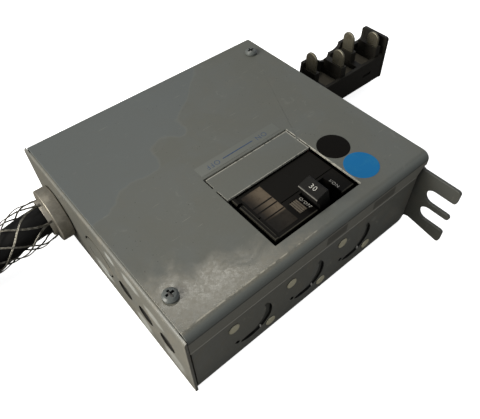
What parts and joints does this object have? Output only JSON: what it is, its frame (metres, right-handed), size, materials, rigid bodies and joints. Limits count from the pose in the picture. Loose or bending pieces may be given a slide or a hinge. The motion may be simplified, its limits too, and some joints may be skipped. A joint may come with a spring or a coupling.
{
  "type": "busway tap-off breaker box",
  "caption": "Grey sheet-steel plug-in box with a toggle breaker in its cover, a stab head and a fork ear at one end, and a gripped cord drop at the other.",
  "frame": {"origin": "on the back panel's underside, midway between the long walls and 85 mm from the gland wall's outer face", "axes": "+X towards the stab head, -X towards the cord gland, -Y towards the wall with the large knockouts, +Z out through the cover"},
  "size_m": [0.6445, 0.2421, 0.0689],
  "materials": {
    "enamel": "semi-gloss grey enamel",
    "cover_enamel": "semi-gloss grey enamel, stained",
    "plate_enamel": "semi-gloss grey enamel",
    "screw_steel": "dull plated",
    "zinc": "dull zinc plate",
    "moulding": "moulded",
    "handle_black": "moulded",
    "indicator": "ribbed",
    "copper": "bare copper",
    "brass": "machined",
    "stab_silver": "silver plate",
    "cord_rubber": "matte",
    "connector_plastic": "moulded",
    "plug_cream": "moulded",
    "tie_fabric": "woven",
    "lead_black": "insulation",
    "lead_red": "insulation",
    "lead_white": "insulation",
    "lead_green": "insulation"
  },
  "bodies": {
    "box": {"base_pan": "enamel", "cover": "cover_enamel", "mounting_end_plate": "plate_enamel", "cover_screw_1": "screw_steel", "cover_screw_2": "screw_steel", "ground_screw_1": "screw_steel", "ground_screw_2": "screw_steel", "head_screw_1": "screw_steel", "head_screw_2": "screw_steel", "gland_body": "zinc", "gland_locknut": "zinc", "grip_collar": "zinc", "mesh_grip": "zinc", "breaker_rail": "zinc", "handle_pin": "zinc", "arm_pin": "zinc", "breaker_base": "moulding", "breaker_cover": "moulding", "stab_head": "moulding", "trip_indicator": "indicator", "line_strap_1": "copper", "line_strap_2": "copper", "load_strap_1": "copper", "load_strap_2": "copper", "line_lug_1": "brass", "line_lug_2": "brass", "load_lug_1": "brass", "load_lug_2": "brass", "ground_bar": "brass", "neutral_block": "brass", "stab_blade_1": "stab_silver", "stab_blade_2": "stab_silver", "stab_blade_3": "stab_silver", "stab_blade_4": "stab_silver", "cord_drop": "cord_rubber", "cord_coil": "cord_rubber", "gland_bushing": "cord_rubber", "connector_body": "connector_plastic", "connector_face": "connector_plastic", "hole_plug_1": "plug_cream", "hole_plug_2": "plug_cream", "hole_plug_3": "plug_cream", "hole_plug_4": "plug_cream", "hole_plug_5": "plug_cream", "hole_plug_6": "plug_cream", "coil_tie": "tie_fabric", "load_lead_1": "lead_black", "line_lead_1": "lead_black", "load_lead_2": "lead_red", "line_lead_2": "lead_red", "neutral_lead": "lead_white", "neutral_feed": "lead_white", "ground_lead": "lead_green"},
    "handle": {"breaker_handle": "handle_black"},
    "contacts": {"contact_arm_1": "copper", "contact_arm_2": "copper", "contact_crossbar": "moulding"}
  },
  "joints": [
    {"name": "handle_toggle", "type": "hinge", "parent": "box", "child": "handle", "pos_m": [0.0204, -0.0588, 0.0435], "axis": [0, 1, 0], "range_deg": [0, 32]},
    {"name": "contact_close", "type": "hinge", "parent": "box", "child": "contacts", "pos_m": [-0.004, -0.0498, 0.033], "axis": [0, 1, 0], "range_deg": [0, 16]}
  ],
  "couplings": [
    {"joint": "contact_close", "follows": "handle_toggle", "ratio": 0.5}
  ]
}
